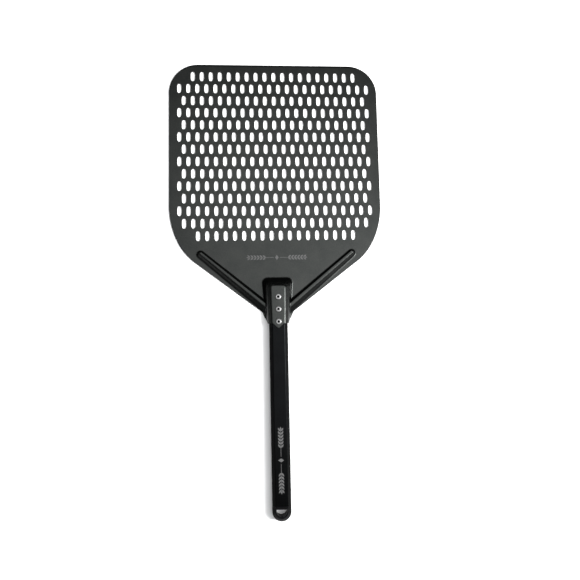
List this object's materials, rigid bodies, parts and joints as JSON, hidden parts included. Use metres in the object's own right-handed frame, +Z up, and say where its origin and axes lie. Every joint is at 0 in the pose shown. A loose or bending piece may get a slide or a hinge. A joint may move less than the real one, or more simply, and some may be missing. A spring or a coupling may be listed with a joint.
{
  "type": "perforated pizza peel",
  "caption": "Flat perforated aluminium pizza peel with a pressed neck and stiffening ribs, riveted to a flat-sided tube handle with a plastic end cap and hanging hole.",
  "frame": {"origin": "bottom centre of the overall box: on the middle line, halfway along the whole length, on the surface that the peel rests on", "axes": "+Y along the handle towards the head's front edge, +Z up from the resting face, +X to the right across the head"},
  "size_m": [0.33, 0.7, 0.0236],
  "materials": {
    "head_anodised": "black hard-anodised, satin",
    "handle_anodised": "black anodised, satin",
    "black_plastic": "moulded, matt",
    "rivet_aluminium": "bare, satin",
    "mandrel_steel": "bare steel"
  },
  "bodies": {
    "root": {"head_plate": "head_anodised", "handle_tube": "handle_anodised", "front_plug": "black_plastic", "end_cap": "black_plastic", "rivet_front": "rivet_aluminium", "rivet_middle": "rivet_aluminium", "rivet_rear": "rivet_aluminium", "rivet_mandrel_front": "mandrel_steel", "rivet_mandrel_middle": "mandrel_steel", "rivet_mandrel_rear": "mandrel_steel"}
  },
  "joints": []
}
